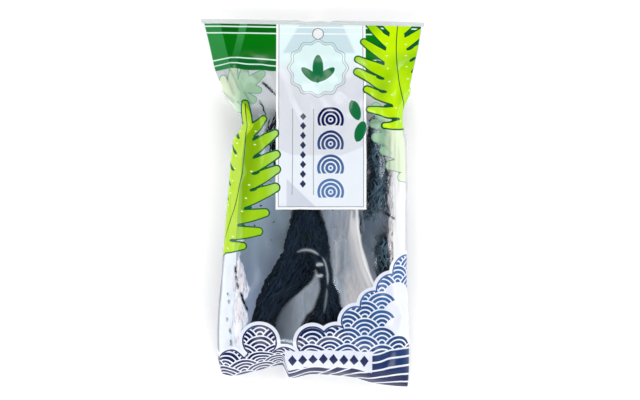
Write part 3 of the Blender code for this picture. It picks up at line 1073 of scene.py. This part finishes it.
# The share that a clear film mirrors grows with the slant, from inside as from outside.
MIRRORS_FACING, MIRRORS_MORE = 0.045, 0.9
slant = start.node("LayerWeight", None, {"Blend": 0.5}, 1)
factor = (cover + (1 - cover) * (MIRRORS_FACING + MIRRORS_MORE * slant**5)).least(1)
skin = start.node("BsdfPrincipled", None, {
    "Base Color": colour, "Metallic": cover.fall(0, 0.3), "Roughness": 0.2, "Specular IOR Level": 0.25,
})
clear = start.node("BsdfTransparent")
surface = start.node("MixShader", None, {0: factor, 1: clear, 2: skin})
start.node("OutputMaterial", None, {"Surface": surface})
print("nodes of the film's material:", len(printed_film.node_tree.nodes))

# %% [markdown]
# ## The strands
# Dried wakame is cut in long thin ribbons that shrink, curl and twist as they dry. They lie in bundles
# along the pack: two that start together and part below the label, and two at the right, one below the
# other. Each strand is a tube that was flattened: a path down its bundle, with a flat cross-section that
# turns about the path. Curves with a bevel could do it, but a strand's width, twist and wrinkles all vary
# along it, so its points are worked out directly, all strands of a bundle at once. The middle of a bundle
# is never seen, so a lumpy dark core fills it.

# %% Room under the film
CELL, UNDER_FILM = 1.5, 0.7
MAP_LOW = np.array([-80, -126])
MAP_SIZE = (108, 168)
NO_HEIGHT = 1e3
FRONT_INSIDE = slice(6, FRONT - 5)  # the front's points without those at its sides


def lowest_around(heights):
    """Each cell of a map takes the lowest of the nine round it."""
    pad = np.pad(heights, 1, constant_values=NO_HEIGHT)
    wide, long = heights.shape
    return np.min([pad[i : i + wide, j : j + long] for i in range(3) for j in range(3)], axis=0)


def ceiling_map(points):
    """Lowest height of the front film over each cell of a map. Cells that no point falls in take their
    neighbours' height, and each cell then takes the lowest of the nine round it."""
    cells = np.floor((points[:, :, :2] - MAP_LOW) / CELL).astype(int).reshape(-1, 2)
    heights = np.full(MAP_SIZE, NO_HEIGHT)
    np.minimum.at(heights, (cells[:, 0], cells[:, 1]), points[:, :, 2].ravel())
    for _ in range(3):
        heights = np.where(heights == NO_HEIGHT, lowest_around(heights), heights)
    return lowest_around(heights)


ceiling = ceiling_map(film[:, FRONT_INSIDE])


def room(x, y):
    """Height under the film at a place, read between the map's cells."""
    at_x = np.clip((x - MAP_LOW[0]) / CELL - 0.5, 0, MAP_SIZE[0] - 1.001)
    at_y = np.clip((y - MAP_LOW[1]) / CELL - 0.5, 0, MAP_SIZE[1] - 1.001)
    i, j = np.floor(at_x).astype(int), np.floor(at_y).astype(int)
    a, b = at_x - i, at_y - j
    low = ceiling[i, j] * (1 - a) + ceiling[i + 1, j] * a
    high = ceiling[i, j + 1] * (1 - a) + ceiling[i + 1, j + 1] * a
    return low * (1 - b) + high * b - UNDER_FILM


print("room under the film at the middle, in mm:", np.round(room(np.array([-5]), np.array([0])), 1))

# %% Where the bundles lie
# In mm: the y of a station, the bundle's middle and its half width there. The left and the middle bundle
# lie together at the top and part lower down.
LEFT_BUNDLE = (
    (56, -14, 14), (46, -12.6, 17.5), (28, -8.6, 16), (12, -4.8, 10.2), (-4.2, -3.8, 7.6),
    (-13.3, -4, 9.8), (-21.1, -5.4, 11), (-32.8, -8.2, 11.5), (-40.6, -11.2, 13), (-48.4, -15, 13.8),
    (-56.2, -20.5, 11.5), (-64, -26.3, 9), (-71.8, -30.3, 7.6), (-79, -32.4, 8.2), (-89, -35.4, 8),
    (-97, -37, 6),
)
MIDDLE_BUNDLE = (
    (58, -8, 15), (41, -4.9, 16), (25, -3.4, 13.4), (9, -3, 8.6), (-4.2, -3.2, 7.2),
    (-13.3, -2, 9.2), (-21.1, -0.4, 9.6), (-28.9, 1.6, 8.6), (-36.7, 4.6, 6.2), (-44, 8.2, 3.7),
    (-50, 9.2, 3.4), (-56.2, 10.8, 5), (-64, 10, 7), (-67.9, 10.2, 9), (-71.8, 10.1, 12.8),
    (-84, 8, 16), (-93, 8, 14),
)
RIGHT_BUNDLE = (
    (50, 40, 2.6), (43, 40, 3.4), (35, 40, 4), (28, 41.6, 4.8), (22, 43.6, 4.9), (9, 42, 5.8),
    (1, 41.4, 6.6), (-4, 40.8, 8.6), (-8.5, 40.8, 9.2),
)
LOWER_RIGHT_BUNDLE = (
    (-17, 49, 2), (-23, 47.4, 3.6), (-28, 46.2, 5), (-40, 46.2, 5.2), (-48, 46.8, 4.2),
    (-57, 47.4, 3.6),
)
LYING_AT, ON_BACK = 1.2, 0.5  # least height of a strand's middle and of its underside
STRAND_SIDES = 6
UNDERNEATH = 0.12  # the share of the strands that lie on a bundle's lower side


def bundle_sides(bundle, y):
    """Middle and half width of a bundle at each y."""
    return [through(bundle, y, k) for k in (1, 2)]


def bundle_at(bundle, y):
    """Middle and half width of a bundle, and the height of its highest point, at each y."""
    middle, half = bundle_sides(bundle, y)
    return middle, half, np.maximum(room(middle, y), LYING_AT + 1)


def covered(bundle, x, y):
    """1 over a bundle and 0 away from it, with soft edges."""
    middle, half = bundle_sides(bundle, y)
    past = np.maximum(y - bundle[0][0], bundle[-1][0] - y)
    return smooth((half + 2.6 - np.abs(x - middle)) / 3) * smooth((3 - past) / 4)


BUNDLES = (LEFT_BUNDLE, MIDDLE_BUNDLE, RIGHT_BUNDLE, LOWER_RIGHT_BUNDLE)
over_strands = np.max([covered(bundle, film_x, film_y) for bundle in BUNDLES], axis=0)
print("share of the front clear of strands:", round(float(1 - over_strands[:, :FRONT].mean()), 2))


# %% Laying the strands
def wander(random, count, at, low, high, terms=5):
    """A soft random line for each strand: sines with low to high turns per mm of the place along it."""
    total = np.zeros((count, at.shape[-1]))
    for _ in range(terms):
        turns, phase = random.uniform(low, high, (count, 1)), random.uniform(0, math.tau, (count, 1))
        total += np.sin(math.tau * turns * at + phase)
    return total / math.sqrt(terms / 2)


def unit(vectors):
    """Vectors made one long."""
    return vectors / (np.linalg.norm(vectors, axis=2, keepdims=True) + 1e-9)


def ribbon_rings(path, outward, turn, width, thickness):
    """Rings of points round each path. outward is the direction that a ribbon's flat side faces before it
    is turned about its path; width and thickness vary along it. Its ends close to points."""
    along_path = unit(np.gradient(path, axis=1))
    flat_side = unit(outward - (outward * along_path).sum(axis=2, keepdims=True) * along_path)
    cross = np.cross(along_path, flat_side)
    c, s = np.cos(turn)[:, :, None], np.sin(turn)[:, :, None]
    wide, thin = cross * c + flat_side * s, flat_side * c - cross * s
    angle = np.arange(STRAND_SIDES) / STRAND_SIDES * math.tau
    across_by = wide[:, :, None] * (width[:, :, None] / 2 * np.cos(angle))[..., None]
    up_by = thin[:, :, None] * (thickness[:, :, None] / 2 * np.sin(angle))[..., None]
    return path[:, :, None] + across_by + up_by


def ring_faces(strands, steps, sides):
    """Faces of closed-ended tubes whose points are numbered strand by strand and ring by ring."""
    index = np.arange(strands * steps * sides).reshape(strands, steps, sides)
    near, far = index[:, :-1], index[:, 1:]
    walls = np.stack([near, np.roll(near, -1, axis=2), np.roll(far, -1, axis=2), far], axis=3)
    return walls.reshape(-1, 4).tolist() + index[:, 0, ::-1].tolist() + index[:, -1].tolist()


def lay_strands(bundle, seed, count, steps, width, curl, loose):
    """All strands of a bundle. Each keeps its own share of the way across, wanders a little, and lies on
    the bundle's round upper side or just below it, or for one in eight on its lower side. curl is how far
    it strays sideways in mm, and loose is how far it may stand off the bundle's outline as a share of the
    half width."""
    random = np.random.default_rng(seed)
    top_y, end_y = bundle[0][0], bundle[-1][0]
    long = top_y - end_y
    first = top_y + 6 - 0.45 * long * random.beta(0.6, 2, (count, 1))
    last = end_y - 4 + 0.45 * long * random.beta(0.6, 2, (count, 1))
    run = np.linspace(0, 1, steps)[None]
    y = first + (last - first) * run
    middle, half, top = bundle_at(bundle, np.clip(y, end_y, top_y))
    share = random.uniform(-1, 1, (count, 1)) + 0.22 * wander(random, count, y, 0.004, 0.02)
    share = np.clip(share, -1, 1)
    share = np.clip(share + loose * wander(random, count, y, 0.01, 0.05), -1.12, 1.12)
    x = middle + share * half * 0.94 + curl * wander(random, count, y, 0.03, 0.12)
    y = y + 0.6 * curl * wander(random, count, y, 0.04, 0.12)
    inner = np.clip((x - middle) / half, -0.995, 0.995)
    mid = LYING_AT + 0.4 * (top - LYING_AT)
    deep = 1 - 0.22 * random.uniform(0, 1, (count, 1)) ** 1.5
    rise = np.sqrt(1 - inner**2) * (top - mid)
    below = random.uniform(0, 1, (count, 1)) < UNDERNEATH
    z = np.where(below, mid - rise * 0.8 * deep, mid + rise * deep)
    z = z + 0.5 * wander(random, count, y, 0.03, 0.1)
    size = width * random.uniform(0.55, 1.35, (count, 1)) * (1 + 0.28 * wander(random, count, y, 0.08, 0.3))
    ends = np.sin(math.pi * np.clip(run, 0.004, 0.996)) ** 0.35
    size = np.maximum(size, 0.4) * ends
    z = np.clip(z, LYING_AT + 0.4 * size, room(x, y) - 0.4 * size)
    outward = np.stack([inner / half, 0 * x, np.sqrt(1 - inner**2) / (top - mid)], axis=2)
    turn = 0.9 * wander(random, count, y, 0.008, 0.035) + 0.35 * wander(random, count, y, 0.08, 0.2)
    rings = ribbon_rings(np.stack([x, y, z], axis=2), outward, turn, size, 0.24 * size + 0.18 * ends)
    rings[..., 2] = np.maximum(rings[..., 2], ON_BACK)  # what lies on the back film is pressed flat
    return rings


dried_strands = bpy.data.materials.new("dried_strands")
pieces = []


def add_strands(name, rings, seed, pale=0):
    """A mesh of strands. Each has a shade of its own stored at its points, and pale says how far painted
    light lightens all of them, as hazy film over them would."""
    count, steps, sides, _ = rings.shape
    piece = new_piece(name, rings, ring_faces(count, steps, sides), dried_strands)
    shade = np.random.default_rng(seed).uniform(0, 1, (count, 1, 1))
    add_fields(piece, "strand", shade, pale, shape=rings.shape[:3])
    pieces.append(piece)
    print(name, "strands:", count, " faces:", len(piece.data.polygons))


add_strands("strands_left", lay_strands(LEFT_BUNDLE, 11, 118, 140, 1.9, 0.45, 0.07), 21)
add_strands("strands_middle", lay_strands(MIDDLE_BUNDLE, 12, 104, 140, 1.8, 0.5, 0.08), 22)
add_strands("strands_right", np.concatenate([
    lay_strands(RIGHT_BUNDLE, 13, 42, 120, 1.8, 1.2, 0.2),
    lay_strands(LOWER_RIGHT_BUNDLE, 14, 22, 120, 1.8, 1.2, 0.2),
]), 23, 0.5)

# %% Strays and scraps
# Single strands that came loose, in mm: start, bend, end and width.
STRAYS = (
    ((-32, 78), (-28.5, 75.5), (-22, 68.5), 1.6), ((-34, 66), (-31, 62), (-30.5, 55), 0.9),
    ((-49.2, -40.5), (-49.4, -42.5), (-49, -44.6), 1.3), ((-49, -46.5), (-48.6, -48), (-48.4, -49.2), 1.2),
    ((-48.4, -51), (-47.8, -52.4), (-47.6, -53.8), 1.3), ((-45.5, -57.5), (-44.8, -61), (-41.4, -68.5), 1.5),
    ((-53, -81), (-52.8, -82), (-52.4, -83), 0.9), ((-52.6, -88), (-52, -89.5), (-52.4, -91), 0.9),
    ((-54.2, -57.6), (-54.4, -58.2), (-54, -58.8), 0.9), ((-53.6, -62.2), (-53.9, -63), (-53.6, -63.6), 0.8),
    ((-54.8, -73.8), (-54.6, -74.6), (-54.9, -75.2), 0.8),
    ((36, 48), (39, 42), (37, 35), 1), ((44, 47), (47, 40), (45.5, 33), 0.9),
    ((47.5, 22), (51, 15), (48.5, 6), 1.1), ((46, -6), (50, -7.5), (52, -9.5), 1.6),
    ((12, -60), (16.5, -66), (18.5, -74), 1), ((31.5, -9), (30, -14), (31, -19), 0.7),
)
STRAY_STEPS, SCRAPS, SCRAP_STEPS = 40, 34, 8

# Where a stray touches the film no painted haze or painted fold highlight hides it.
touching = np.zeros(across.shape)
for start, bend, end, width in STRAYS:
    away, _ = curve_distance(film_x, film_y, start, bend, end)
    touching = np.maximum(touching, smooth((width / 2 + 0.5 - away) / 0.7))
add_fields(pouch, "clear", 1 - over_strands, touching)


def loose_rings(starts, bends, ends, width, steps, curl, seed, near_film):
    """Single strands along quadratic curves. near_film puts them just under the front film, or else they
    lie on the back one."""
    random = np.random.default_rng(seed)
    count = len(starts)
    t = np.linspace(0, 1, steps)[None, :, None]
    a, b, c = (np.array(p, dtype=float)[:, None] for p in (starts, bends, ends))
    path = quadratic(a, b, c, t)
    run = t[:, :, 0] * np.linalg.norm(c - a, axis=2)
    x, y = path[:, :, 0] + curl * wander(random, count, run, 0.05, 0.2), path[:, :, 1]
    ends_close = np.sin(math.pi * np.clip(t[:, :, 0], 0.02, 0.98)) ** 0.4
    size = np.array(width).reshape(-1, 1) * ends_close * (1 + 0.2 * wander(random, count, run, 0.1, 0.4))
    size = np.maximum(size, 0.15)
    z = room(x, y) - 0.5 * size if near_film else LYING_AT + 0.3 * size
    z = np.maximum(z, LYING_AT)
    outward = np.broadcast_to([0, 0, 1], (count, steps, 3))
    turn = 0.35 * wander(random, count, run, 0.03, 0.12)
    return ribbon_rings(np.stack([x, y, z], axis=2), outward, turn, size, 0.3 * size + 0.1)


*curves, widths = zip(*STRAYS)
add_strands("stray_strands", loose_rings(*curves, widths, STRAY_STEPS, 0.4, 15, True), 24)
random = np.random.default_rng(16)
middles = np.stack([random.uniform(-40, 40, SCRAPS), random.uniform(-72, 20, SCRAPS)], axis=1)
turns = random.uniform(0, math.tau, SCRAPS)
reach = (random.uniform(0.7, 2.4, SCRAPS) / 2 * np.stack([np.cos(turns), np.sin(turns)])).T
curves = middles - reach, middles + random.normal(0, 0.5, (SCRAPS, 2)), middles + reach
widths = random.uniform(0.5, 1.2, SCRAPS)
add_strands("scraps", loose_rings(*curves, widths, SCRAP_STEPS, 0.1, 17, False), 25)

# %% Cores
CORE_STEPS, CORE_SIDES = 90, 40


def core_rings(bundle, seed, share):
    """A lumpy closed body inside a bundle: uneven ellipses along it, a share of the bundle's size."""
    y = np.linspace(bundle[0][0] - 2, bundle[-1][0] + 2, CORE_STEPS)[:, None]
    middle, half, top = bundle_at(bundle, y)
    angle = np.arange(CORE_SIDES)[None] / CORE_SIDES * math.tau
    ends = np.sin(math.pi * np.linspace(0.012, 0.988, CORE_STEPS))[:, None] ** 0.3
    size = share * ends * (1 + 0.07 * waves(y, angle * 8, seed, 30, 0.03, 0.14))
    mid = LYING_AT + 0.45 * (top - LYING_AT)
    x = middle + half * size * np.cos(angle)
    z = mid + np.where(np.sin(angle) > 0, top - mid, mid - LYING_AT) * size * np.sin(angle)
    y = np.broadcast_to(y, x.shape)
    return np.stack([x, y, np.clip(z, LYING_AT, room(x, y) - 1)], axis=2)[None]


# Name, bundle, seed, share of the bundle's size, and how far painted light lightens it, as hazy film over it
# would.
CORES = (
    ("core_left", LEFT_BUNDLE, 31, 0.86, 0),
    ("core_middle", MIDDLE_BUNDLE, 32, 0.86, 0),
    ("core_right", RIGHT_BUNDLE, 33, 0.55, 0.5),
    ("core_lower_right", LOWER_RIGHT_BUNDLE, 34, 0.55, 0.5),
)
for name, bundle, seed, share, pale in CORES:
    add_strands(name, core_rings(bundle, seed, share), seed, pale)

# %% Dried seaweed
start = start_nodes(dried_strands)
shade, pale, _ = field(start, "strand")
grain = noise(start, 900, 3)
colour = layered(
    (shade * 0.7 + grain * 0.5 - 0.1).rise(0, 1).blend(ink(13, 24, 38), ink(31, 50, 69)),
    (noise(start, 120, 2).rise(0.6, 0.75), ink(18, 37, 38)),
    # painted light: strands under hazy film are lightened
    (pale * (0.3 + shade * 0.7), ink(124, 158, 176)),
)
bump = start.node("Bump", None, {"Height": grain, "Strength": 0.5, "Distance": 0.0004})
dull = start.node("BsdfPrincipled", None, {
    "Base Color": colour, "Roughness": 0.62 + grain * 0.2, "Specular IOR Level": 0.06, "Normal": bump,
})
start.node("OutputMaterial", None, {"Surface": dull})
print("nodes of the strands' material:", len(dried_strands.node_tree.nodes))

# %% [markdown]
# ## Floor, light and surroundings
# A white floor in soft light, as in the photograph. It glows a little, as a light table does: painted light
# that keeps it white beside the pack, where the pack's shadow would fall. Clear film shows what it mirrors:
# straight above it is dark, so that the film over the strands stays dark, and near the horizon it is bright,
# so that the sides turn white.

# %% Floor and light
REACH, FLOOR_Z = 3000, -0.5
corners = [(x * REACH, y * REACH, FLOOR_Z) for x, y in ((-1, -1), (1, -1), (1, 1), (-1, 1))]
floor_white = bpy.data.materials.new("floor_white")
floor = new_piece("floor", corners, [(0, 1, 2, 3)], floor_white)
start = start_nodes(floor_white)
matt = start.node("BsdfPrincipled", None, {
    "Base Color": (0.98, 0.98, 0.98, 1), "Roughness": 0.9,
    # painted light: the floor glows
    "Emission Color": (1, 1, 1, 1), "Emission Strength": 0.17,
})
start.node("OutputMaterial", None, {"Surface": matt})

# Place in metres, width and height of the light, watts.
LIGHTS = (
    ("light_left", (-0.98, 0.05, 0.4), 1.4, 0.5, 7.6),
    ("light_right", (1.05, 0, 0.5), 0.8, 0.4, 6.4),
    ("light_beyond", (0.15, 1.1, 0.58), 0.9, 0.4, 7.4),
    ("light_near", (0.05, -1, 0.75), 0.9, 0.5, 9.6),
)
for name, place, width, height, watts in LIGHTS:
    lamp = bpy.data.lights.new(name, "AREA")
    lamp.shape, lamp.size, lamp.size_y, lamp.energy = "RECTANGLE", width, height, watts
    light = put_in_scene(name, lamp)
    light.location = place
    light.rotation_euler = (-Vector(place)).to_track_quat("-Z", "Y").to_euler()

world = bpy.data.worlds.new("studio")
bpy.context.scene.world = world
start = start_nodes(world)
_, _, up = start.node("TexCoord", None, None, 0).parts()
glow = up.fall(0, 1) ** 3 * 0.9 + 0.06
background = start.node("Background", None, {"Color": (0.97, 0.98, 1, 1), "Strength": glow})
start.node("OutputWorld", None, {"Surface": background})
bpy.context.scene.view_settings.view_transform = "Standard"
print("lights:", len(LIGHTS))

# %% Pieces attached to the root body, and the imported solid hidden
for piece in [pouch, *pieces]:
    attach(piece, "root")
    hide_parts("pack")
bpy.context.view_layer.update()
